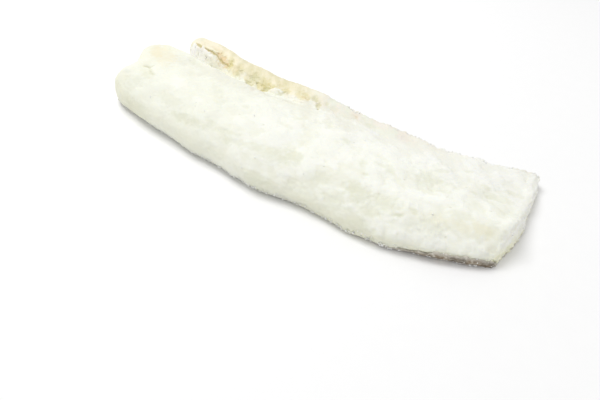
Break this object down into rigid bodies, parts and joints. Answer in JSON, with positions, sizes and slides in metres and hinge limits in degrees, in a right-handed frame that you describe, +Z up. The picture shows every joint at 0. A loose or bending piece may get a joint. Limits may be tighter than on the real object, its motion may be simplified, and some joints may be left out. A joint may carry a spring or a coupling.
{
  "type": "salted dried cod loin",
  "caption": "Long boned loin of fish under a white salt crust, thick rounded nape, straight tail cut, and a channel beside a lip of belly wall.",
  "frame": {"origin": "on the resting plane, below the middle of the loin's length and width", "axes": "+X along the loin from the nape end to the tail cut, +Y across it from the dorsal edge to the belly edge, +Z up from the skin side to the flesh side"},
  "size_m": [0.3504, 0.1394, 0.0349],
  "materials": {
    "salted_flesh": "dry, powdery crust of fine white salt over pale flesh, with no shine"
  },
  "bodies": {
    "root": {"cod_loin": "salted_flesh"}
  },
  "joints": []
}
